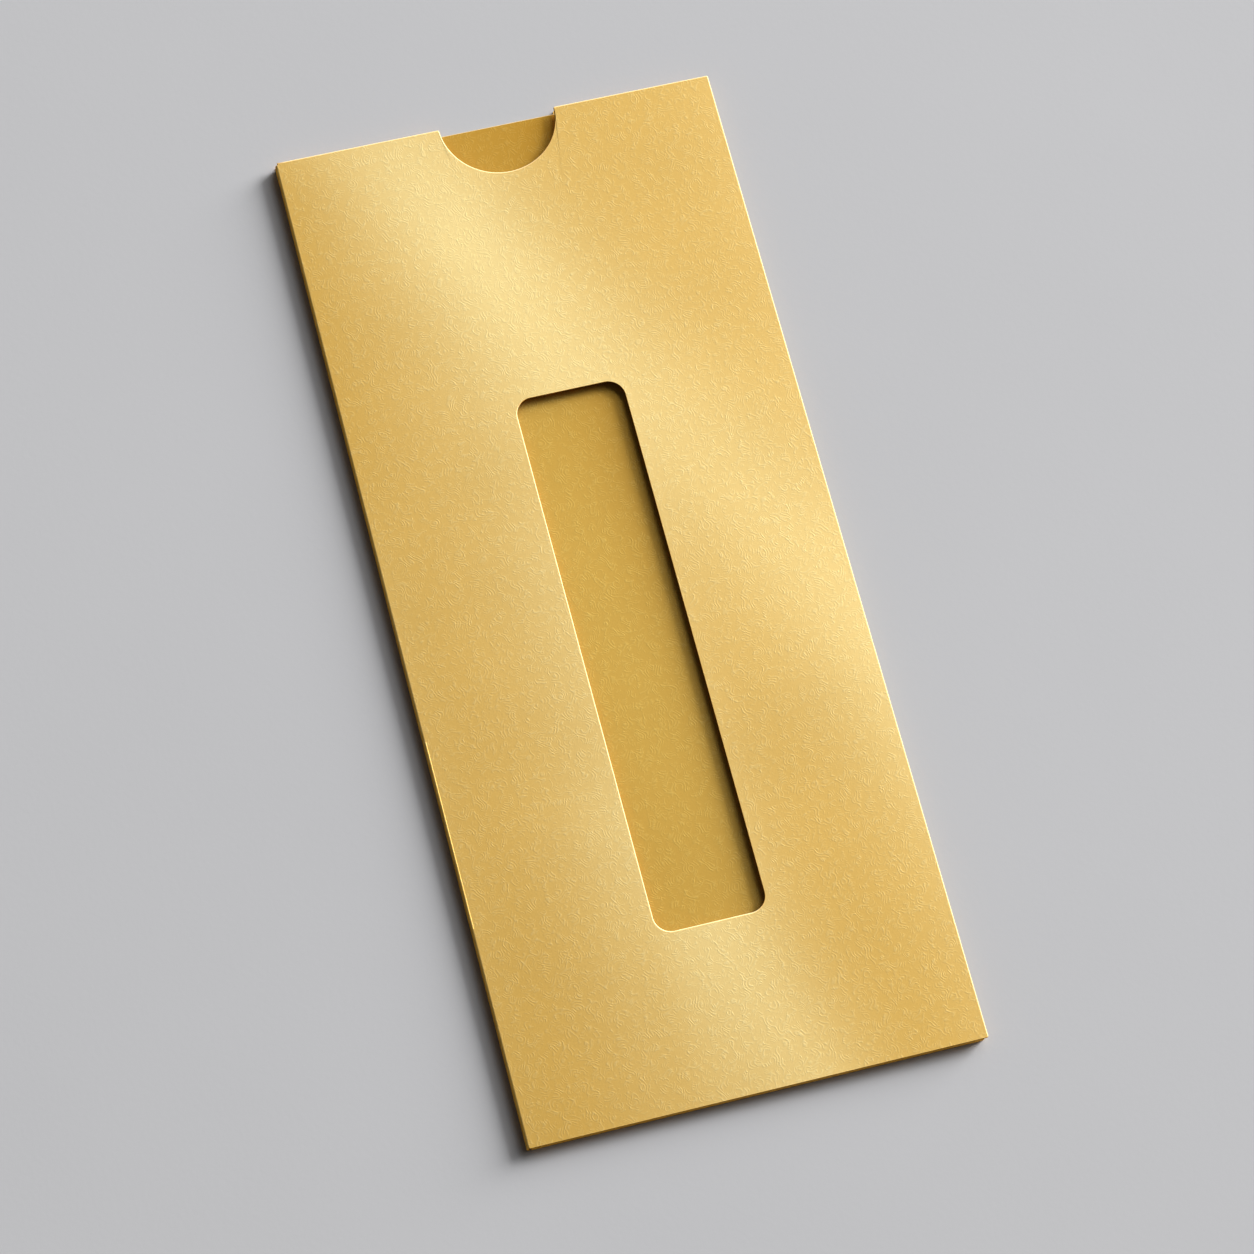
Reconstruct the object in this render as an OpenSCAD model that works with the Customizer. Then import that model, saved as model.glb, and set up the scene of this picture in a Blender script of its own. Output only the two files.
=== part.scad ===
// Gift card holder: a slim sleeve folded from gold board, with a long window, thumb cuts
// at its open mouth and an insert card that slides out of it.
// It lies on its back. Z = 0 is the back face, +Y points out of the mouth,
// and X = 0, Y = 0 is the middle of the sleeve.

/* [Sleeve] */
// Outside width across the two side folds; a gift card 85.6 long goes across it
sleeve_w = 90; // [88:1:130]
// Outside length from the closed end to the mouth
sleeve_l = 205; // [180:1:260]
// Thickness of the gold board of the sleeve
board_t = 0.35; // [0.25:0.05:0.45]
// Rounding of the die-cut edges on the outside of the front
rim_r = 0.25; // [0.1:0.05:0.3]

/* [Folds] */
// Outside radius of every fold
fold_r = 0.6; // [0.5:0.05:0.8]
// Length by which a side fold stops short of the mouth, so the crease does not split
fold_relief = 0.5; // [0.1:0.1:2]
// Set-back of the front's glued edges from the outside of the folds below them
edge_inset = 0.15; // [0.05:0.05:0.5]
// Gap between two folds at a corner of the closed end, from which their flaps are mitred
corner_gap = 0.3; // [0.1:0.1:1]

/* [Pocket] */
// Thickness of the plastic gift card that the pocket has to take
card_t = 0.76; // [0.3:0.02:1.2]
// Free height over that card when the insert is in as well
pocket_slack = 0.09; // [0.05:0.01:0.5]

/* [Window] */
// Width of the window
window_w = 22; // [10:1:40]
// Length of the window
window_l = 111; // [40:1:130]
// Corner radius of the window
window_r = 3.4; // [1.4:0.2:5]
// Distance from the closed end to the near edge of the window
window_up = 34; // [24:1:36]

/* [Thumb cuts] */
// Radius of the half-round thumb cuts, which are centred on the mouth edge
thumb_r = 12; // [8:0.5:15]

/* [Glue flaps] */
// Width of the side flap and the bottom flap, measured from their creases
flap_w = 14; // [10:1:18]
// Slope of the tapered flap ends, away from square to the crease
flap_taper = 20; // [10:1:40]
// Thickness of the glue strips
glue_t = 0.1; // [0.05:0.05:0.2]
// Width of the glue strips
glue_w = 6; // [3:1:8]
// Distance from a crease to the glue strip that runs beside it
glue_in = 3; // [1:0.5:4]
// Distance kept between a glue strip and the slanted ends of its flap
glue_margin = 3; // [1:0.5:10]

/* [Insert card] */
// Thickness of the insert card
insert_t = 0.35; // [0.25:0.05:0.6]
// Distance from the mouth edge down to the edge of the insert card
insert_down = 0.8; // [0.2:0.1:4]
// Gap at each side between the insert card and the side folds
insert_side = 0.5; // [0.3:0.1:3]
// Gap between the insert card and the bottom fold
insert_end = 0.5; // [0.3:0.1:3]
// Gap between the insert card and the back panel that it lies on
insert_lift = 0.05; // [0.02:0.01:0.2]
// Corner radius of the insert card
insert_r = 2; // [0.5:0.5:6]

/* [Hidden] */
$fn = 96;

gold = [0.90, 0.74, 0.42];
inner_gold = [0.79, 0.63, 0.30];
glue_clear = [0.93, 0.90, 0.80];
over = 1;                                   // how far a cut runs past a face

side_h = 2 * board_t + insert_lift + insert_t + card_t + pocket_slack; // top of the flaps
sleeve_t = side_h + glue_t + board_t;       // outside thickness
half_w = sleeve_w / 2;
half_l = sleeve_l / 2;
crease_x = half_w - fold_r;                 // where the flat panels end and a fold begins
crease_y = half_l - fold_r;
front_right = half_w - edge_inset;          // free edges of the front
front_low = -half_l + edge_inset;
uncut = 0.05;                               // upright part of an edge below its rounding
rim = min(rim_r, board_t - uncut);
window_y = -half_l + window_up + window_l / 2;
flap_z = side_h - board_t;
bottom_half = crease_x - corner_gap;        // half the length of the bottom fold
side_low = -crease_y + corner_gap;          // lower end of the side fold
side_high = half_l - fold_relief;
glue_end = glue_in + glue_w + glue_margin;  // from a flap's root corners to its glue strip
insert_w = sleeve_w - 2 * (board_t + insert_side);
insert_low = -half_l + board_t + insert_end;
insert_high = half_l - insert_down;

// Outline with rounded corners, centred on the origin
module rounded_outline(w, l, r) {
    square([w - 2 * r, l], center = true);
    square([w, l - 2 * r], center = true);
    for (sx = [-1, 1], sy = [-1, 1])
        translate([sx * (w / 2 - r), sy * (l / 2 - r)]) circle(r);
}

// Strip of height h whose closed side, at -r, has two round corners of radius r
module round_back(h, r, past = 0) {
    translate([-r, r]) square([r + past, h - 2 * r]);
    intersection() {
        translate([-r, 0]) square([r, h]);
        for (v = [r, h - r]) translate([0, v]) circle(r);
    }
    if (past > 0) square([past, h]);
}

// Board bent twice into a channel of outside height h, open towards +X at X = 0
module fold_section(h) {
    difference() {
        round_back(h, fold_r);
        translate([0, board_t]) round_back(h - 2 * board_t, fold_r - board_t, over);
    }
}

// Channel of fold_section drawn along Y from y0 to y1
module fold_run(h, y0, y1) {
    translate([0, y1, 0]) rotate([90, 0, 0]) linear_extrude(y1 - y0) fold_section(h);
}

// What a rounding of radius e takes off: the edge is at the origin, its board at -X and -Y
module rim_section(e) {
    difference() {
        translate([-e, -e]) square(e + over);
        translate([-e, -e]) circle(e);
    }
}

// Rounds a straight top edge of length l that runs along Y, with its board at -X
module rim_straight(l, e = rim) {
    translate([0, l / 2, 0]) rotate([90, 0, 0]) linear_extrude(l) rim_section(e);
}

// Rounds a top edge of radius r, with its board inside the radius, or outside for side = -1
module rim_arc(r, turn, side, e = rim) {
    rotate_extrude(angle = turn) translate([r, 0]) mirror([side > 0 ? 0 : 1, 0]) rim_section(e);
}

// Rounds the top edge round a card (side = 1) or round a window (side = -1)
module rim_loop(w, l, r, side, e = rim) {
    for (turn = [0, 180]) {
        rotate(turn) translate([side * w / 2, 0, 0]) rim_straight(l - 2 * r, e);
        rotate(turn + 90) translate([side * l / 2, 0, 0]) rim_straight(w - 2 * r, e);
    }
    for (c = [[1, 1, 0], [-1, 1, 90], [-1, -1, 180], [1, -1, 270]])
        translate([c[0] * (w / 2 - r), c[1] * (l / 2 - r), 0])
            rotate(c[2]) rim_arc(r, 90, side, e);
}

// Rounds the mouth edge and its thumb cut
module rim_mouth() {
    translate([0, half_l, 0]) {
        rotate(180) rim_arc(thumb_r, 180, -1);
        rotate(90) rim_straight(sleeve_w + 2 * over);
    }
}

// Front of the sleeve, with the window, the thumb cut and softly rounded cut edges
module front_panel() {
    color(gold) difference() {
        translate([0, 0, sleeve_t - board_t]) linear_extrude(board_t) difference() {
            translate([-crease_x, front_low])
                square([front_right + crease_x, half_l - front_low]);
            translate([0, window_y]) rounded_outline(window_w, window_l, window_r);
            translate([0, half_l]) circle(thumb_r);
        }
        translate([0, 0, sleeve_t]) {
            rim_mouth();
            translate([0, window_y, 0]) rim_loop(window_w, window_l, window_r, -1);
            translate([front_right, 0, 0]) rim_straight(sleeve_l + 2 * over);
            translate([0, front_low, 0]) rotate(-90) rim_straight(sleeve_w + 2 * over);
        }
    }
}

// Back of the sleeve, with a thumb cut that matches the front's
module back_panel() {
    color(gold) difference() {
        linear_extrude(board_t) difference() {
            translate([-crease_x, -crease_y]) square([2 * crease_x, crease_y + half_l]);
            translate([0, half_l]) circle(thumb_r);
        }
        mirror([0, 0, 1]) rim_mouth();
    }
}

// Left fold, which joins the front to the back
module spine_fold() {
    color(gold) translate([-crease_x, 0, 0]) fold_run(sleeve_t, front_low, side_high);
}

// Right fold, which rises from the back and carries the side glue flap
module side_fold() {
    color(gold) mirror([1, 0, 0]) translate([-crease_x, 0, 0])
        fold_run(side_h, side_low, side_high);
}

// Fold that closes the sleeve's lower end and carries the bottom glue flap
module bottom_fold() {
    color(gold) translate([0, -crease_y, 0]) rotate(90)
        fold_run(side_h, -bottom_half, bottom_half);
}

// Flap inside the right edge: square root on the crease, tapered at the mouth,
// mitred at the closed end
module side_glue_flap() {
    inner_x = crease_x - flap_w;
    color(inner_gold) translate([0, 0, flap_z]) linear_extrude(board_t) polygon([
        [crease_x, side_low],
        [crease_x, side_high],
        [inner_x, side_high - flap_w * tan(flap_taper)],
        [inner_x, side_low + flap_w]
    ]);
}

// Flap inside the closed end, mitred towards the side flap and tapered at the spine
module bottom_glue_flap() {
    inner_y = -crease_y + flap_w;
    color(inner_gold) translate([0, 0, flap_z]) linear_extrude(board_t) polygon([
        [-bottom_half, -crease_y],
        [bottom_half, -crease_y],
        [bottom_half - flap_w, inner_y],
        [-bottom_half + flap_w * tan(flap_taper), inner_y]
    ]);
}

// Glue between the side flap and the front
module side_glue_strip() {
    color(glue_clear)
        translate([crease_x - glue_in - glue_w, side_low + glue_end, side_h])
            cube([glue_w, side_high - side_low - 2 * glue_end, glue_t]);
}

// Glue between the bottom flap and the front
module bottom_glue_strip() {
    color(glue_clear)
        translate([-bottom_half + glue_end, -crease_y + glue_in, side_h])
            cube([2 * (bottom_half - glue_end), glue_w, glue_t]);
}

// Loose card of the same gold board, gripped at the thumb cuts and drawn out of the mouth
module insert_card() {
    length = insert_high - insert_low;
    color(inner_gold)
        translate([0, insert_low + length / 2, board_t + insert_lift]) difference() {
            linear_extrude(insert_t) rounded_outline(insert_w, length, insert_r);
            translate([0, 0, insert_t])
                rim_loop(insert_w, length, insert_r, 1, min(rim_r, insert_t - uncut));
        }
}

front_panel();
back_panel();
spine_fold();
side_fold();
bottom_fold();
side_glue_flap();
bottom_glue_flap();
side_glue_strip();
bottom_glue_strip();
insert_card();
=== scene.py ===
# Gift card holder: a slim sleeve folded from gold board, with a long window, half-round
# thumb cuts at its mouth and a loose insert card. It lies on its back on a pale table.
import math

import bmesh
import bpy
import numpy as np
from mathutils import Euler, Matrix, Vector


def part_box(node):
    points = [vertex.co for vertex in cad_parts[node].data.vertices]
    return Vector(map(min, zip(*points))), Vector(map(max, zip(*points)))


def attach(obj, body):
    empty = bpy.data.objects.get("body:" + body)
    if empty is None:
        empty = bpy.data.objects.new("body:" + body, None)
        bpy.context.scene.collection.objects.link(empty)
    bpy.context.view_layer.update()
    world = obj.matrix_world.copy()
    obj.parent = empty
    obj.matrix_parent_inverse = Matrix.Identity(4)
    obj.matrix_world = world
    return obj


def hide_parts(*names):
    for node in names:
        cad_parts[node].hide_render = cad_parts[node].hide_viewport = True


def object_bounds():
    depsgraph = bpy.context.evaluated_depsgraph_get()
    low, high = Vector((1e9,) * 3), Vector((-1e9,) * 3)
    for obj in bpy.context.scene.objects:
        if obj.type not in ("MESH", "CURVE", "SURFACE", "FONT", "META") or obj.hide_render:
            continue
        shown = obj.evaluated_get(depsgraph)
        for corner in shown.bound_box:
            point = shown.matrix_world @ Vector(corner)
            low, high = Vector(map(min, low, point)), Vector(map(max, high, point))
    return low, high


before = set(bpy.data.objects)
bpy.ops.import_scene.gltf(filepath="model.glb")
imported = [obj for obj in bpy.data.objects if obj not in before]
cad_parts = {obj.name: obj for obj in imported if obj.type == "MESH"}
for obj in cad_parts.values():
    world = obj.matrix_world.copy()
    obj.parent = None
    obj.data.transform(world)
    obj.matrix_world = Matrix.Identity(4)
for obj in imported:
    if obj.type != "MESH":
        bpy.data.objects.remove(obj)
cadLow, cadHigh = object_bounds()
mm = 0.001
sameSpot = 1e-6                     # mm; points of a path that are nearer than this are one
weldCell, weldShift = 1e-4, 0.37    # mm and cells; mesh points in one cell become one, and the
                                    # shift keeps round sizes away from the limits of the cells
levelFace = 0.9999                  # faces whose normal's Z is at least this are shaded flat
rimSteps = 6                        # rows of a rim's quarter turn
flatSteps = 18                      # rows between the window and the outline of the front
edgeSteps = dict(across=30, along=60, corner=4)


def line(start, end, steps=1):
    # start + s (end - start), s from 0 to 1
    s = np.linspace(0, 1, steps + 1)[:, None]
    return np.array(start, float) + s * (np.array(end, float) - np.array(start, float))


def arc(centre, radius, begin, end, steps):
    # centre + radius (cos a, sin a), a from begin to end in degrees
    a = np.radians(np.linspace(begin, end, steps + 1))
    return np.array(centre, float) + radius * np.stack([np.cos(a), np.sin(a)], 1)


def chain(*runs):
    # the runs one after another, with no point standing twice in a row
    path = np.concatenate(runs)
    return path[np.r_[True, np.hypot(*np.diff(path, axis=0).T) > sameSpot]]


def fractions(path):
    # share of the path's length that lies before each of its points
    run = np.r_[0, np.cumsum(np.hypot(*np.diff(path, axis=0).T))]
    return run / run[-1]


def looped(bottom, right, top, left):
    # a closed anticlockwise loop of four sides, each given from the lower left, and the knot of
    # every point: the number of its side plus its share of that side
    runs = [bottom, right, top[::-1], left[::-1]]
    return (np.concatenate([run[:-1] for run in runs]),
            np.concatenate([k + fractions(run)[:-1] for k, run in enumerate(runs)]))


def readAt(loop, knots, places):
    # points of a closed loop at other places between its knots
    loop, knots = np.concatenate([loop, loop[:1]]), np.append(knots, 4.0)
    return np.stack([np.interp(places, knots, loop[:, k]) for k in (0, 1)], 1)


def together(*knotSets):
    # every knot of every set once
    return np.unique(np.round(np.concatenate(knotSets), 5))


def inset(loop, depth, uneven=(0.0, 0.0)):
    # every point of a closed anticlockwise loop moved inwards along the mitre of its two edges:
    # (n1 + n2) / (1 + n1 . n2) is depth away from both. uneven says how much wider a rim gets
    # that looks towards +X and towards +Y, as shares of its width; opposite it is narrower
    edge = np.roll(loop, -1, 0) - loop
    edge /= np.hypot(*edge.T)[:, None]
    after = np.stack([-edge[:, 1], edge[:, 0]], 1)
    before = np.roll(after, 1, 0)
    mitre = (before + after) / (1 + (before * after).sum(1))[:, None]
    wider = 1 - np.sign(depth) * (mitre @ uneven)
    return loop + depth * wider[:, None] * mitre


def raised(flat, height):
    # the points of a plane grid at one height
    return np.concatenate([flat, np.full(flat.shape[:-1] + (1,), float(height))], -1)


def patch(u, v, bottom, right, top, left):
    # (1-v) bottom(u) + v top(u) + (1-u) left(v) + u right(v), less the corners counted twice
    u, v = u[None, :, None], v[:, None, None]
    corners = ((1 - u) * (1 - v) * bottom[0] + u * (1 - v) * bottom[-1]
               + (1 - u) * v * top[0] + u * v * top[-1])
    return ((1 - v) * bottom[None] + v * top[None] + (1 - u) * left[:, None]
            + u * right[:, None] - corners)


def rimRows(low, high, rimLow, rimHigh, ease=0.06):
    # (inset, height) of the rows down a cut edge: a quarter turn of rimHigh, a wall, a quarter
    # turn of rimLow, with one row of ease on either flat
    a = np.radians(np.linspace(0, 90, rimSteps + 1))
    top = np.stack([rimHigh - rimHigh * np.sin(a), high - rimHigh + rimHigh * np.cos(a)], 1)
    under = np.stack([rimLow - rimLow * np.cos(a), low + rimLow - rimLow * np.sin(a)], 1)
    return np.concatenate([[[rimHigh + ease, high]], top, under, [[rimLow + ease, low]]])


def board(name, grids):
    # grids of points (rows, columns, 3) in mm, each with its share of cut edge: points that
    # fall together become one, squares with two such corners become triangles, and the faces
    # of the closed shell are turned outwards
    points, quads, cut, base = [], [], [], 0
    for grid, share in grids:
        rows, cols = grid.shape[:2]
        index = base + np.arange(rows * cols).reshape(rows, cols)
        quads.append(np.stack([index[:-1, :-1], index[:-1, 1:], index[1:, 1:], index[1:, :-1]],
                              -1).reshape(-1, 4))
        points.append(grid.reshape(-1, 3))
        cut.append(np.broadcast_to(share, (rows, cols)).reshape(-1))
        base += rows * cols
    points, quads, cut = np.concatenate(points), np.concatenate(quads), np.concatenate(cut)
    keys = np.floor(points / weldCell + weldShift).astype(np.int64)
    first, back = np.unique(keys, axis=0, return_index=True, return_inverse=True)[1:]
    points, cut, quads = points[first], cut[first], back.reshape(-1)[quads]
    same = quads == np.roll(quads, -1, 1)                # two neighbouring corners in one place
    whole = quads[~same.any(1)]
    pinched = quads[same.sum(1) == 1]
    spare = np.argmax(pinched == np.roll(pinched, -1, 1), 1)
    keep = np.arange(4)[None] != spare[:, None]
    thirds = pinched[keep].reshape(-1, 3)
    mesh = bpy.data.meshes.new(name)
    mesh.from_pydata((points * mm).tolist(), [], whole.tolist() + thirds.tolist())
    mesh.attributes.new("cutEdge", "FLOAT", "POINT").data.foreach_set(
        "value", cut.astype(np.float32))
    shell = bmesh.new()
    shell.from_mesh(mesh)
    bmesh.ops.recalc_face_normals(shell, faces=shell.faces)
    openEdges = sum(len(edge.link_faces) != 2 for edge in shell.edges)
    print(f"{name}: {len(shell.faces)} faces, {openEdges} open edges")
    shell.to_mesh(mesh)
    shell.free()
    upright = np.empty(3 * len(mesh.polygons), np.float32)
    mesh.polygons.foreach_get("normal", upright)
    mesh.polygons.foreach_set("use_smooth", abs(upright[2::3]) < levelFace)
    piece = bpy.data.objects.new(name, mesh)
    bpy.context.collection.objects.link(piece)
    return piece


def rimShare(rows):
    # 1 on the rows of a rim and 0 on the first and last, which lie on the flats
    return (np.arange(len(rows)) % (len(rows) - 1) > 0)[:, None] * 1.0


def closedRing(rows):
    # a grid whose last column is its first again
    return np.concatenate([rows, rows[:, :1]], 1)


def sheetOf(name, sides, low, high, rimLow, rimHigh, spread=(40, 60)):
    # a flat board inside four sides: the points of facing sides are paired, the two flats are
    # patches inside the rims, and the rim goes round as rows of the inset loop
    loop, knots = looped(*sides)
    u = together(knots[knots <= 1], 3 - knots[(knots >= 2) & (knots <= 3)],
                 np.linspace(0, 1, spread[0] + 1))
    v = together(knots[(knots >= 1) & (knots <= 2)] - 1, 4 - knots[knots >= 3],
                 np.linspace(0, 1, spread[1] + 1))
    places = np.concatenate([u[:-1], 1 + v[:-1], 3 - u[:0:-1], 4 - v[:0:-1]])
    n, m = len(u) - 1, len(v) - 1

    def ring(depth):
        return readAt(inset(loop, depth), knots, places)

    def flat(depth):
        r = ring(depth)
        r = np.concatenate([r, r[:1]])
        return patch(u, v, r[:n + 1], r[n:n + m + 1], r[n + m:2 * n + m + 1][::-1],
                     r[2 * n + m:][::-1])

    rows = rimRows(low, high, rimLow, rimHigh)
    grids = [(raised(flat(rows[0, 0]), high), 0.0), (raised(flat(rows[-1, 0]), low), 0.0),
             (closedRing(np.stack([raised(ring(d), z) for d, z in rows])), rimShare(rows))]
    return board(name, grids)


def windowedSheet(name, holeSides, outerSides, low, high, rimLow, rimHigh, uneven):
    # a flat board between a hole and an outline: straight lines join points at the same places
    # of the two loops, and rolled rims go round both
    hole, holeKnots = looped(*holeSides)
    outline, outerKnots = looped(*outerSides)
    places = together(holeKnots, outerKnots)
    rows = rimRows(low, high, rimLow, rimHigh)
    across = np.linspace(0, 1, flatSteps + 1)[:, None, None]

    def inner(depth):
        return readAt(inset(hole, -depth, uneven), holeKnots, places)

    def outer(depth):
        return readAt(inset(outline, depth, uneven), outerKnots, places)

    grids = [(closedRing(raised((1 - across) * inner(d) + across * outer(d), z)), 0.0)
             for d, z in (rows[0], rows[-1])]
    grids += [(closedRing(np.stack([raised(edge(d), z) for d, z in rows])), rimShare(rows))
              for edge in (inner, outer)]
    return board(name, grids)


def nodeBox(node):
    # lowest and highest corner of a CAD node, in mm
    return [np.array(c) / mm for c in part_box(node)]


# sizes of all pieces are in mm. tip is the radius of the front's corners and of the tips of the
# thumb cuts, uneven is told at inset, and overhang is how far the front's low edge stands past
# its CAD node
frontLook = dict(windowWide=21.9, windowLong=110.95, windowMiddle=(-0.05, -13.1),
                 windowCorner=3.4, windowSteps=10, thumbRadius=11.85, thumbMiddle=0.6, tip=0.34,
                 rim=0.155, underRim=0.05, uneven=(0.24, 0.48), overhang=0.14)
mouthSteps = dict(level=16, tip=8, cut=56)


def mouthPath(left, right, top, look, corner=0.0):
    # the mouth edge from left to right: level, down round the thumb cut, level again and half
    # round the right corner; each tip is rounded by a circle of radius tip that touches the
    # edge and the cut
    tip, big, middle = look["tip"], look["thumbRadius"], look["thumbMiddle"]
    out = math.sqrt((big + tip) ** 2 - tip ** 2)
    lean = math.degrees(math.atan2(tip, out))
    return chain(
        line((left, top), (middle - out, top), mouthSteps["level"]),
        arc((middle - out, top - tip), tip, 90, lean, mouthSteps["tip"]),
        arc((middle, top), big, 180 + lean, 360 - lean, mouthSteps["cut"]),
        arc((middle + out, top - tip), tip, 180 - lean, 90, mouthSteps["tip"]),
        line((middle + out, top), (right - corner, top), mouthSteps["level"]),
        arc((right - corner, top - corner), corner, 90, 45, edgeSteps["corner"]))


def roundedSides(low, high, r, steps=8):
    # the four sides of a rectangle from corner to corner, each corner turned with radius r
    (x0, y0), (x1, y1) = low[:2], high[:2]
    bottom = chain(arc((x0 + r, y0 + r), r, 225, 270, steps),
                   arc((x1 - r, y0 + r), r, 270, 315, steps))
    right = chain(arc((x1 - r, y0 + r), r, -45, 0, steps), arc((x1 - r, y1 - r), r, 0, 45, steps))
    top = chain(arc((x0 + r, y1 - r), r, 135, 90, steps), arc((x1 - r, y1 - r), r, 90, 45, steps))
    left = chain(arc((x0 + r, y0 + r), r, 225, 180, steps),
                 arc((x0 + r, y1 - r), r, 180, 135, steps))
    return bottom, right, top, left


def madeFront():
    low, high = nodeBox("front_panel")
    look = frontLook
    low[0] -= look["rim"]                                # this rim is hidden in the fold
    low[1] -= look["overhang"]
    halfWide, halfLong = look["windowWide"] / 2, look["windowLong"] / 2
    midX, midY = look["windowMiddle"]
    hole = roundedSides((midX - halfWide, midY - halfLong), (midX + halfWide, midY + halfLong),
                        look["windowCorner"], look["windowSteps"])
    c, turns = look["tip"], edgeSteps["corner"]
    bottom = chain(line((low[0], low[1]), (high[0] - c, low[1]), edgeSteps["across"]),
                   arc((high[0] - c, low[1] + c), c, 270, 315, turns))
    right = chain(arc((high[0] - c, low[1] + c), c, -45, 0, turns),
                  line((high[0], low[1] + c), (high[0], high[1] - c), edgeSteps["along"]),
                  arc((high[0] - c, high[1] - c), c, 0, 45, turns))
    top = mouthPath(low[0], high[0], high[1], look, c)
    left = line(low[:2], (low[0], high[1]), edgeSteps["along"])
    return windowedSheet("frontSheet", hole, (bottom, right, top, left), low[2], high[2],
                         look["underRim"], look["rim"], look["uneven"])


backLook = dict(rim=0.25, innerRim=0.05)


def madeBack():
    low, high = nodeBox("back_panel")
    low[:2] -= backLook["rim"]                           # these rims are hidden in the folds
    high[0] += backLook["rim"]
    bottom = line((low[0], low[1]), (high[0], low[1]), edgeSteps["across"])
    right = line((high[0], low[1]), (high[0], high[1]), edgeSteps["along"])
    left = line((low[0], low[1]), (low[0], high[1]), edgeSteps["along"])
    top = mouthPath(low[0], high[0], high[1], frontLook)
    return sheetOf("backSheet", (bottom, right, top, left), low[2], high[2], backLook["rim"],
                   backLook["innerRim"])


insertLook = dict(corner=2.0, rim=0.16, underRim=0.06)


def madeInsert():
    low, high = nodeBox("insert_card")
    return sheetOf("insertCard", roundedSides(low, high, insertLook["corner"]), low[2], high[2],
                   insertLook["underRim"], insertLook["rim"])


# waver is how far the wall of a fold drifts inwards, by two waves along it: lengths in mm for
# one radian, the share of the short one and its shift
foldLook = dict(radius=0.45, board=0.35, endRim=0.06, waver=0.03, longWave=31.0,
                shortWave=11.3, shortShare=0.6, shortShift=1.7,
                turnSteps=12, wallSteps=6, runSteps=119, endSteps=4)


def madeFold(name, node, axis, side):
    # the C section of a fold: board of one thickness about a middle line, carried along the
    # crease. A point is middle(u) + (thickness / 2) n(u) outside and minus that inside
    low, high = nodeBox(node)
    look = foldLook
    tall, thick, r = high[2] - low[2], look["board"], look["radius"]
    a = np.radians(np.linspace(0, 90, look["turnSteps"] + 1))
    mid, centre = r - thick / 2, r - (high[axis] - low[axis])
    turnTop = np.stack([centre - mid * np.sin(a), tall - r + mid * np.cos(a)], 1)
    turnLow = np.stack([centre - mid * np.cos(a), r - mid * np.sin(a)], 1)
    wall = line(turnTop[-1], turnLow[0], look["wallSteps"])
    middle = chain(line((0, tall - thick / 2), turnTop[0]), turnTop, wall, turnLow,
                   line(turnLow[-1], (0, thick / 2)))
    outward = np.concatenate([[[0.0, 1.0]], np.stack([-np.sin(a), np.cos(a)], 1),
                              np.tile([-1.0, 0.0], (look["wallSteps"] - 1, 1)),
                              np.stack([-np.cos(a), -np.sin(a)], 1), [[0.0, -1.0]]])
    e = look["endRim"]
    y0, y1 = low[1 - axis], high[1 - axis]
    quarter = np.radians(np.linspace(0, 90, look["endSteps"] + 1))
    run = np.linspace(y0 + e, y1 - e, look["runSteps"] + 1)[1:-1]
    along = np.concatenate([y0 + e - e * np.cos(quarter), run, y1 - e + e * np.sin(quarter)])
    half = np.concatenate([thick / 2 - e + e * np.sin(quarter), np.full(len(run), thick / 2),
                           thick / 2 - e + e * np.cos(quarter)])
    belly = np.sin(np.linspace(0, np.pi, len(middle)))[None, :, None]
    # the two waves together, moved and shrunk to lie between -1 and 0, so that it only drifts in
    share = look["shortShare"]
    waves = (np.sin(along / look["longWave"])
             + share * np.sin(along / look["shortWave"] + look["shortShift"]))
    drift = ((waves - (1 + share)) / (2 * (1 + share)))[:, None, None]
    shape = middle[None] + look["waver"] * drift * belly * outward[None]
    faces = [shape + s * half[:, None, None] * outward[None] for s in (1, -1)]

    def placed(section, y):
        # across the fold is X or Y, measured from the crease towards the outside
        crease = high[axis] if side < 0 else low[axis]
        span = crease - side * section[..., 0]
        stack = [span, np.broadcast_to(y, span.shape)]
        if axis == 1:
            stack = stack[::-1]
        return np.stack([*stack, low[2] + section[..., 1]], -1)

    rows = along[:, None]
    grids = [(placed(faces[0], rows), 0.0), (placed(faces[1], rows), 0.0)]
    for k in (0, -1):
        ends = np.stack([faces[0][k], faces[1][k]])
        grids.append((placed(ends, along[k]), 1.0))
        sides = np.stack([faces[0][:, k], faces[1][:, k]])
        grids.append((placed(sides, along[None]), 0.0))
    return board(name, grids)


flapLook = dict(wide=14.0, taper=20.0, rim=0.05, longSteps=30, shortSteps=12, spread=(12, 12))


def madeFlap(name, node, sidesOf):
    low, high = nodeBox(node)
    return sheetOf(name, sidesOf(low, high), low[2], high[2], flapLook["rim"], flapLook["rim"],
                   flapLook["spread"])


def sideFlapSides(low, high):
    # square on its crease at the right, tapered at the mouth and mitred at the closed end
    wide, long, short = (flapLook[key] for key in ("wide", "longSteps", "shortSteps"))
    drop = wide * math.tan(math.radians(flapLook["taper"]))
    return (line((low[0], low[1] + wide), (high[0], low[1]), short),
            line((high[0], low[1]), (high[0], high[1]), long),
            line((low[0], high[1] - drop), (high[0], high[1]), short),
            line((low[0], low[1] + wide), (low[0], high[1] - drop), long))


def bottomFlapSides(low, high):
    # square on its crease below, tapered towards the spine and mitred towards the side flap
    wide, long, short = (flapLook[key] for key in ("wide", "longSteps", "shortSteps"))
    drop = wide * math.tan(math.radians(flapLook["taper"]))
    return (line((low[0], low[1]), (high[0], low[1]), long),
            line((high[0], low[1]), (high[0] - wide, high[1]), short),
            line((low[0] + drop, high[1]), (high[0] - wide, high[1]), long),
            line((low[0], low[1]), (low[0] + drop, high[1]), short))


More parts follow.
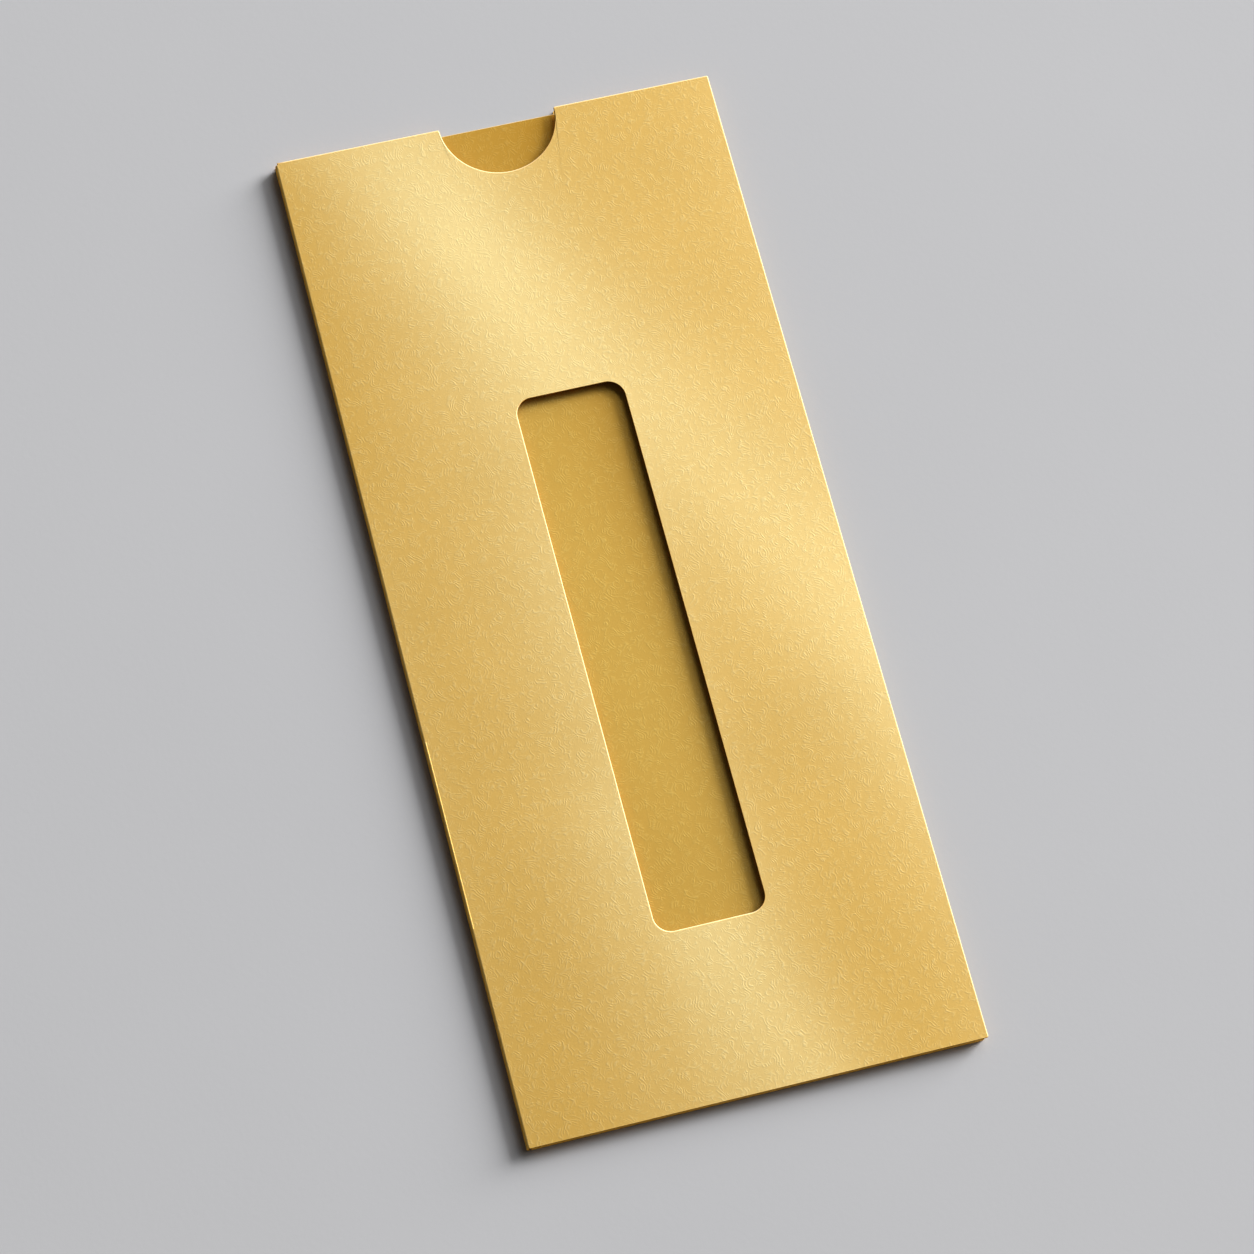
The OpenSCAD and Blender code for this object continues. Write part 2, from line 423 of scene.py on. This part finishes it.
# each edge of a strip is drawn in by waver / 2 (inward + sines), and each sine has its length
# in mm for one radian, its shift and its share
glueLook = dict(waver=0.35, inward=1.7, nearSines=((2.3, 0, 0.6), (5.1, 1, 0.7)),
                farSines=((2.9, 2, 0.7), (6.7, 0, 0.6)), rim=0.03, longSteps=69, endSteps=8,
                spread=(6, 6))


def madeGlue(name, node):
    # a strip pressed flat, whose edges waver by sines of the place along it
    low, high = nodeBox(node)
    look = glueLook
    long = 1 if high[1] - low[1] > high[0] - low[0] else 0
    run = np.linspace(low[long], high[long], look["longSteps"] + 1)

    def drawnIn(sines):
        return look["waver"] / 2 * (look["inward"] + sum(
            share * np.sin(run / length + shift) for length, shift, share in sines))

    thin = low[1 - long] + drawnIn(look["nearSines"]), high[1 - long] - drawnIn(look["farSines"])
    near, far = (np.stack([edge, run] if long else [run, edge], 1) for edge in thin)
    ends = [line(near[k], far[k], look["endSteps"]) for k in (0, -1)]
    sides = ((ends[0], far, ends[1], near) if long else (near, ends[1], far, ends[0]))
    return sheetOf(name, sides, low[2], high[2], look["rim"], look["rim"], look["spread"])


front = madeFront()
back = madeBack()
insert = madeInsert()
spine = madeFold("spineFold", "spine_fold", 0, -1)
sideFold = madeFold("sideFold", "side_fold", 0, 1)
bottomFold = madeFold("bottomFold", "bottom_fold", 1, -1)
sideFlap = madeFlap("sideGlueFlap", "side_glue_flap", sideFlapSides)
bottomFlap = madeFlap("bottomGlueFlap", "bottom_glue_flap", bottomFlapSides)
sideGlue = madeGlue("sideGlueStrip", "side_glue_strip")
bottomGlue = madeGlue("bottomGlueStrip", "bottom_glue_strip")
print("pieces made")


class Wire:
    # a socket that can stand in arithmetic: each operator adds one Math node

    def __init__(self, bench, socket):
        self.bench, self.socket = bench, socket

    def out(self, name):
        # another output of the same node
        return Wire(self.bench, self.bench.pick(self.socket.node.outputs, name))

    def part(self, name):
        # X, Y or Z of a vector
        return self.bench.node("ShaderNodeSeparateXYZ", None, {0: self}).out(name)

    def maths(self, operation, *others, clamp=False):
        return self.bench.node("ShaderNodeMath", dict(operation=operation, use_clamp=clamp),
                               dict(enumerate((self,) + others)))

    def __add__(self, other):
        return self.maths("ADD", other)

    def __sub__(self, other):
        return self.maths("SUBTRACT", other)

    def __rsub__(self, other):
        return self.bench.node("ShaderNodeMath", dict(operation="SUBTRACT"), {0: other, 1: self})

    def __mul__(self, other):
        return self.maths("MULTIPLY", other)

    def __truediv__(self, other):
        return self.maths("DIVIDE", other)

    def __abs__(self):
        return self.maths("ABSOLUTE")

    __radd__ = __add__
    __rmul__ = __mul__

    def held(self):
        # kept between 0 and 1
        return self.maths("ADD", 0.0, clamp=True)

    def eased(self, start, end):
        # 0 at start, 1 at end, smooth between
        return self.bench.node(
            "ShaderNodeMapRange", dict(interpolation_type="SMOOTHSTEP"),
            {"Value": self, "From Min": start, "From Max": end})


class Bench:
    # the node tree of one material or of the world

    def __init__(self, tree):
        self.tree = tree
        tree.nodes.clear()

    def pick(self, sockets, name):
        if isinstance(name, int):
            return sockets[name]
        return next(s for s in sockets if name in (s.identifier, s.name) and s.enabled)

    def node(self, kind, settings=None, sockets=None):
        # adds a node: its settings first, then the value or the link of each socket
        made = self.tree.nodes.new(kind)
        for name, value in (settings or {}).items():
            setattr(made, name, value)
        for name, value in (sockets or {}).items():
            socket = self.pick(made.inputs, name)
            if isinstance(value, Wire):
                self.tree.links.new(value.socket, socket)
            else:
                socket.default_value = value
        outs = [s for s in made.outputs if s.enabled]
        return Wire(self, outs[0]) if outs else made

    def vector(self, operation, *values):
        return self.node("ShaderNodeVectorMath", dict(operation=operation),
                         dict(enumerate(values)))

    def parts(self, vector):
        return [vector.part(name) for name in "XYZ"]

    def joined(self, x, y, z=0.0):
        return self.node("ShaderNodeCombineXYZ", None, {0: x, 1: y, 2: z})

    def mixed(self, share, first, second, blend="MIX"):
        return self.node("ShaderNodeMix", dict(data_type="RGBA", blend_type=blend),
                         {"Factor_Float": share, "A_Color": first, "B_Color": second})

    def times(self, colour, tone):
        # a colour made lighter or darker by a number
        return self.mixed(1.0, colour, self.joined(tone, tone, tone), "MULTIPLY")

    def noise(self, vector, scale, detail=2.0, roughness=0.5, kind="3D"):
        return self.node("ShaderNodeTexNoise", dict(noise_dimensions=kind),
                         {"Vector": vector, "Scale": scale, "Detail": detail,
                          "Roughness": roughness})


def shade(colour):
    # linear colour with full alpha
    return (*colour, 1.0)


def newMaterial(name):
    material = bpy.data.materials.new(name)
    material.use_nodes = True
    return material, Bench(material.node_tree)


sleeveTop = cadHigh.z
# colours are linear: colour of the face and paintedSheenColour, the colour of its painted sheen;
# paintedLitCut and paintedShadedCut, painted light and painted shade on the cut edges that look
# towards paintedLightWay and away from it; paintedShadedWall, painted shade on the walls that
# look away. curl and grain are heights in mm, mottle a share of the colour, wall how light a wall
# stays (a painted shade), and rollOver how far the normal leans outwards over a cut edge painted
# lit
goldLook = dict(colour=(0.95, 0.56, 0.10), paintedSheenColour=(0.945, 0.745, 0.335),
                paintedLitCut=(0.84, 0.68, 0.37), paintedShadedCut=(0.90, 0.45, 0.05),
                paintedShadedWall=(0.95, 0.47, 0.06), roughness=0.5,
                cutRoughness=0.45, metallic=0.5, cutMetallic=0.2, curl=0.0094, grain=0.005,
                mottle=0.035, wall=1.0, rollOver=0.35)
insertGold = dict(goldLook, colour=(0.75, 0.393, 0.048), paintedSheenColour=(0.845, 0.595, 0.155),
                  curl=0.0076, grain=0.003, rollOver=0.15)
insideGold = dict(goldLook, colour=(0.72, 0.45, 0.11), paintedSheenColour=(0.80, 0.58, 0.22),
                  roughness=0.55, metallic=0.4, curl=0.008)
# the side fold's walls are painted much darker, a painted shade
sideGoldPaintedShade = dict(goldLook, wall=0.12)
# soft swells of the board, in mm: the crest of each runs along x = start + lean s + bend s s,
# where s is the distance below top as a share of alongUnit, and it grows between two heights.
# lift is how much more light it catches, and this catch is also painted into the colour:
# painted sheen where it is more, painted shade where it is less. cross gives the same across
# the board, as factors of 1, c, c c and c c c with c = x / acrossUnit, and twist along it, as
# factors of d and d d with d = y / alongUnit
acrossUnit, alongUnit = 45, 100
frontSwellsAndPaintedLight = dict(cross=(1.14, -0.075, -0.045, 0.18), twist=(0.04, -0.045), crests=(
    dict(top=95, start=-24, lean=73, bend=-11, wide=21, lift=0.275, grow=(140, 120)),
    dict(top=20, start=-4, lean=-7.5, bend=16, wide=13, lift=0.33, grow=(65, 5)),
    dict(top=0, start=-11.2, lean=-1, bend=-2, wide=14, lift=0.135, grow=(20, 50)),
    dict(top=0, start=-14.5, lean=3.5, bend=2.5, wide=12.5, lift=0.15, grow=(-25, -50)),
    dict(top=0, start=-38, lean=1, bend=-0.5, wide=11, lift=-0.07, grow=(75, 98)),
    dict(top=0, start=-46, lean=0, bend=0, wide=6.5, lift=0.11, grow=(45, 5)),
    dict(top=20, start=-11.5, lean=-2.5, bend=0.5, wide=4, lift=-0.045, grow=(60, 30))))
backSwellsAndPaintedLight = dict(cross=(1.05, 0.05, -0.08, -0.12), twist=(-0.05, 0.0), crests=(
    dict(top=80, start=30, lean=-32, bend=-8, wide=17, lift=0.26, grow=(140, 120)),
    dict(top=-10, start=-24, lean=20, bend=10, wide=15, lift=0.22, grow=(20, -40))))
# on the insert the crest at start 14, with lift below 0, is a painted shadow near the window's
# right edge, and the twist makes it darker towards its top
insertSwellsAndPaintedLight = dict(cross=(1.175, 0.02, -0.04, 0.0), twist=(-0.08, -0.09), crests=(
    dict(top=60, start=-20, lean=24, bend=4, wide=18, lift=0.10, grow=(140, 120)),
    dict(top=0, start=14, lean=0, bend=0, wide=10, lift=-0.12, grow=(140, 120))))
paintedLightWay = (0.75, 0.66)              # cut edges that look this way get painted light, the others painted shade
paintedLitFrom, paintedLitTo = -0.25, 0.3   # cosines to it between which an edge turns from painted shade to painted light
steepFrom, steepTo = 0.9, 0.2       # Z of the normal between which a face becomes a wall
wallShade = 0.7                     # how much darker (a painted shade) and less metallic a wall is
paintedWallShadeShare = 0.8                     # how much of the painted shade colour a wall that looks away takes
swayPerLift = 0.14                  # slope of a swell for each unit of lift
bellReach, bellPace = 0.886, 1.13   # bellReach tanh(bellPace q) is near the integral of exp(-q q)
paintedSheenFrom, paintedSheenTo = 0.88, 1.6        # catches of light between which the painted sheen grows from none to full
paintedCurlHighlight = 0.12                     # how much paler the ridge of a curl is painted, a painted highlight
grainCells, mottleCells = 2600.0, 45.0  # cells per metre
grainTone, curlTone = 0.05, 0.012   # how far grain and curls change the tone
grainRoughness = 0.1
# (cells per metre, shift, lines per cell, share of the strength) of each layer of curls
curlLayers = ((400.0, 0.0, 6.5, 1.0), (575.0, 0.31, 5.5, 0.8))
# the noise that breaks the curls: its cells as a factor of theirs, and the values between
# which a curl ends
patchCells, patchFrom, patchTo = 1.25, 0.48, 0.58


def curlHeight(bench, across, along):
    # short curved embossed strokes: the sine of a smooth noise draws its contour lines, its
    # fourth power leaves thin ridges of them, and a finer noise breaks these into strokes
    total = None
    for scale, shift, lines, share in curlLayers:
        spot = bench.joined(across + shift, along - shift * 2)
        field = bench.noise(spot, scale, detail=0.0, kind="2D")
        patches = bench.noise(spot, scale * patchCells, detail=1.0, kind="2D")
        patches = patches.eased(patchFrom, patchTo)
        wave = (field * (math.pi * lines)).maths("SINE")
        ridge = wave * wave
        strokes = ridge * ridge * patches * share
        total = strokes if total is None else total + strokes
    return total


def swellAndPaintedLightOf(bench, across, along, swells):
    # returns the height in mm and the catch of light, which is painted into the colour as painted
    # sheen and painted shade. With q = (x - crest) / wide, a crest catches lift exp(-q q) more
    # light, and its height -lift wide times the integral of the same bell slopes with it; the
    # rest of the height is the integral of cross and twist over x
    x, y = across / mm, along / mm
    c, d = x / acrossUnit, y / alongUnit
    level, one, two, three = swells["cross"]
    turned = d * (swells["twist"][0] + d * swells["twist"][1])
    light = level + c * (one + c * (two + c * three)) + turned
    height = c * (turned + c * (one / 2 + c * (two / 3 + c * (three / 4)))) * -acrossUnit
    for crest in swells["crests"]:
        s = (crest["top"] - y) / alongUnit
        q = (x - crest["start"] - s * (crest["lean"] + s * crest["bend"])) / crest["wide"]
        full = y.eased(*crest["grow"]) * crest["lift"]
        light = light + (q * q * -1).maths("EXPONENT") * full
        bell = (q * bellPace).maths("TANH") * (bellReach * crest["wide"])
        height = height - bell * full
    return height * swayPerLift, light


def goldBoard(name, look, swells, unfold=(0.0, 0.0)):
    # pearl gold board, with painted sheen, painted light and shade on its cut edges and painted
    # shade on its walls; unfold says how a point's depth below the front counts across and along,
    # so that the texture runs on over a fold
    material, bench = newMaterial(name)
    place = bench.node("ShaderNodeTexCoord").out("Object")
    x, y, z = bench.parts(place)
    across, along = x + (z - sleeveTop) * unfold[0], y + (z - sleeveTop) * unfold[1]
    flat = bench.joined(across, along)
    cut = bench.node("ShaderNodeAttribute", dict(attribute_name="cutEdge")).out("Fac")
    speck = bench.noise(flat, grainCells, kind="2D") - 0.5
    cloud = bench.noise(flat, mottleCells, detail=3.0, kind="2D") - 0.5
    curls = curlHeight(bench, across, along)
    swell, light = swellAndPaintedLightOf(bench, across, along, swells)
    tone = 1 + cloud * (2 * look["mottle"]) + speck * grainTone + curls * curlTone
    # painted sheen: where the swells and the curl ridges catch more light, the colour is painted
    # paler
    paintedSheen = ((light + curls * paintedCurlHighlight - paintedSheenFrom) / (paintedSheenTo - paintedSheenFrom)).held()
    gold = bench.mixed(paintedSheen, shade(look["colour"]), shade(look["paintedSheenColour"]))
    facing = bench.node("ShaderNodeTexCoord").out("Normal")
    steep = abs(facing.part("Z")).eased(steepFrom, steepTo)
    # how far a face looks towards the lamps, for painted light and painted shade on cut edges and
    # walls
    turned = (facing.part("X") * paintedLightWay[0] + facing.part("Y") * paintedLightWay[1]).eased(
        paintedLitFrom, paintedLitTo)
    # walls are painted darker, a painted shade, and are less metallic
    wallTone = 1 - steep * wallShade
    gold = bench.times(gold, tone * (1 - steep * (1 - look["wall"])))
    # walls that look away from the lamps take a painted shade colour
    gold = bench.mixed(steep * (1 - turned) * paintedWallShadeShare, gold, shade(look["paintedShadedWall"]))
    # cut edges: painted shade where they look away from the lamps, painted light where they look
    # towards them
    edge = bench.mixed(turned, shade(look["paintedShadedCut"]), shade(look["paintedLitCut"]))
    colour = bench.mixed(cut, gold, bench.times(edge, wallTone))
    height = curls * look["curl"] + speck * look["grain"] + swell
    normal = bench.node("ShaderNodeBump", None,
                        {"Strength": 1.0, "Distance": mm, "Height": height})
    lean = bench.node("ShaderNodeVectorTransform", dict(
        vector_type="VECTOR", convert_from="OBJECT", convert_to="WORLD"),
        {0: bench.joined(cut * turned * look["rollOver"], 0.0)})
    normal = bench.vector("NORMALIZE", bench.vector("ADD", normal, lean))
    shader = bench.node("ShaderNodeBsdfPrincipled", None, {
        "Base Color": colour,
        "Metallic": cut * look["cutMetallic"] + (1 - cut) * wallTone * look["metallic"],
        "Roughness": look["roughness"] + speck * grainRoughness
        + cut * (look["cutRoughness"] - look["roughness"]),
        "Normal": normal, "Specular IOR Level": 0.0, "Specular Tint": shade(look["colour"])})
    bench.node("ShaderNodeOutputMaterial", None, {"Surface": shader})
    return material


# height of the ripples in mm, cells per metre
driedLook = dict(dark=(0.80, 0.72, 0.50), light=(0.92, 0.86, 0.68), cells=420.0, strength=0.6,
                 height=0.2, roughness=0.3, cloudRoughness=0.2)


def driedGlue(name):
    material, bench = newMaterial(name)
    look = driedLook
    place = bench.node("ShaderNodeTexCoord").out("Object")
    cloud = bench.noise(place, look["cells"], detail=3.0)
    colour = bench.mixed(cloud, shade(look["dark"]), shade(look["light"]))
    normal = bench.node("ShaderNodeBump", None, {
        "Strength": look["strength"], "Distance": look["height"] * mm, "Height": cloud})
    shader = bench.node("ShaderNodeBsdfPrincipled", None, {
        "Base Color": colour, "Normal": normal,
        "Roughness": look["roughness"] + cloud * look["cloudRoughness"]})
    bench.node("ShaderNodeOutputMaterial", None, {"Surface": shader})
    return material


# half the table's width in metres, cells per metre, speckHeight in mm
tableLook = dict(half=3.0, dark=(0.635, 0.635, 0.65), light=(0.67, 0.67, 0.685), cloudCells=9.0,
                 speckCells=900.0, speckHeight=0.01, roughness=0.9)


def tableTop(name):
    material, bench = newMaterial(name)
    look = tableLook
    place = bench.node("ShaderNodeTexCoord").out("Object")
    cloud = bench.noise(place, look["cloudCells"], detail=4.0, roughness=0.6)
    speck = bench.noise(place, look["speckCells"], detail=3.0, roughness=0.6)
    colour = bench.mixed(cloud, shade(look["dark"]), shade(look["light"]))
    normal = bench.node("ShaderNodeBump", None, {
        "Strength": 1.0, "Distance": look["speckHeight"] * mm, "Height": speck})
    shader = bench.node("ShaderNodeBsdfPrincipled", None, {
        "Base Color": colour, "Roughness": look["roughness"], "Specular IOR Level": 0.0,
        "Normal": normal})
    bench.node("ShaderNodeOutputMaterial", None, {"Surface": shader})
    return material


pearlFront = goldBoard("pearlGoldFront", goldLook, frontSwellsAndPaintedLight, (1.0, 0.0))
pearlBack = goldBoard("pearlGoldBack", goldLook, backSwellsAndPaintedLight, (1.0, 0.0))
pearlSide = goldBoard("pearlGoldSide", sideGoldPaintedShade, frontSwellsAndPaintedLight, (-1.0, 0.0))
pearlEnd = goldBoard("pearlGoldEnd", goldLook, frontSwellsAndPaintedLight, (0.0, 1.0))
pearlInsert = goldBoard("pearlGoldInsert", insertGold, insertSwellsAndPaintedLight)
pearlInside = goldBoard("pearlGoldInside", insideGold, backSwellsAndPaintedLight)
glueFinish = driedGlue("driedGlue")
print("finishes made")

for piece, node, body, slot, finish in (
        (front, "front_panel", "sleeve", "gold_board", pearlFront),
        (back, "back_panel", "sleeve", "gold_board", pearlBack),
        (spine, "spine_fold", "sleeve", "gold_board", pearlFront),
        (sideFold, "side_fold", "sleeve", "gold_board", pearlSide),
        (bottomFold, "bottom_fold", "sleeve", "gold_board", pearlEnd),
        (sideFlap, "side_glue_flap", "sleeve", "board_inside", pearlInside),
        (bottomFlap, "bottom_glue_flap", "sleeve", "board_inside", pearlInside),
        (sideGlue, "side_glue_strip", "sleeve", "dried_glue", glueFinish),
        (bottomGlue, "bottom_glue_strip", "sleeve", "dried_glue", glueFinish),
        (insert, "insert_card", "insert", "insert_board", pearlInsert)):
    piece.data.materials.append(finish)
    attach(piece, body)
    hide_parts(node)
print("pieces fitted to their bodies")

# angles in degrees, sizes as half angles seen from the sleeve, power in watts
lampLooks = dict(softKey=dict(azimuth=22.0, rise=19.0, tall=15.0, wide=14.0, power=824.0),
                 softFill=dict(azimuth=33.0, rise=33.0, tall=25.0, wide=33.0, power=365.0))
lampDistance = 7.0
# strength of the world for what the object is lit by, for the camera and for reflections
worldLook = dict(ambient=0.028, backdrop=0.54, mirrored=0.04)
# focal length and frame in pixels of the photograph, turns in degrees about X, Y and Z, shift
# of the sleeve's middle from the line of sight in mm, and its distance
cameraLook = dict(focal=4161.0, turn=(-17.08, 8.815, 12.636), shift=(-1.16, 6.83, 809.45),
                  sensor=36.0, frame=1254.0)

half = tableLook["half"]
tableMesh = bpy.data.meshes.new("table")
tableMesh.from_pydata([(-half, -half, 0), (half, -half, 0), (half, half, 0), (-half, half, 0)],
                      [], [(0, 1, 2, 3)])
table = bpy.data.objects.new("table", tableMesh)
table.data.materials.append(tableTop("paleTable"))
bpy.context.collection.objects.link(table)

for name, look in lampLooks.items():
    azimuth, rise = math.radians(look["azimuth"]), math.radians(look["rise"])
    towards = Vector((math.cos(azimuth) * math.cos(rise), math.sin(azimuth) * math.cos(rise),
                      math.sin(rise)))
    softBox = bpy.data.lights.new(name, "AREA")
    softBox.shape = "RECTANGLE"
    softBox.size = 2 * lampDistance * math.tan(math.radians(look["wide"]))
    softBox.size_y = 2 * lampDistance * math.tan(math.radians(look["tall"]))
    softBox.energy = look["power"]
    lamp = bpy.data.objects.new(name, softBox)
    lamp.location = towards * lampDistance
    lamp.rotation_euler = towards.to_track_quat("Z", "Y").to_euler()
    lamp.visible_camera = False
    bpy.context.collection.objects.link(lamp)

world = bpy.data.worlds.new("studio")
bpy.context.scene.world = world
world.use_nodes = True
air = Bench(world.node_tree)
path = air.node("ShaderNodeLightPath")
strength = (worldLook["ambient"] + path * (worldLook["backdrop"] - worldLook["ambient"])
            + path.out("Is Glossy Ray") * (worldLook["mirrored"] - worldLook["ambient"]))
air.node("ShaderNodeOutputWorld", None, {"Surface": air.node(
    "ShaderNodeBackground", None, {"Color": (1.0, 1.0, 1.0, 1.0), "Strength": strength})})

turn = Euler([math.radians(a) for a in cameraLook["turn"]], "XYZ").to_matrix()
tx, ty, tz = cameraLook["shift"]
camera = bpy.data.cameras.new("camera")
camera.sensor_width = cameraLook["sensor"]
camera.lens = cameraLook["focal"] / cameraLook["frame"] * cameraLook["sensor"]
camera.clip_start, camera.clip_end = 0.01, 20
eye = bpy.data.objects.new("camera", camera)
eye.matrix_world = Matrix.LocRotScale(turn.transposed() @ Vector((-tx, -ty, tz)) * mm,
                                      turn.transposed(), None)
bpy.context.collection.objects.link(eye)
bpy.context.scene.camera = eye
bpy.context.scene.view_settings.view_transform = "Standard"
print("table, light and camera set")
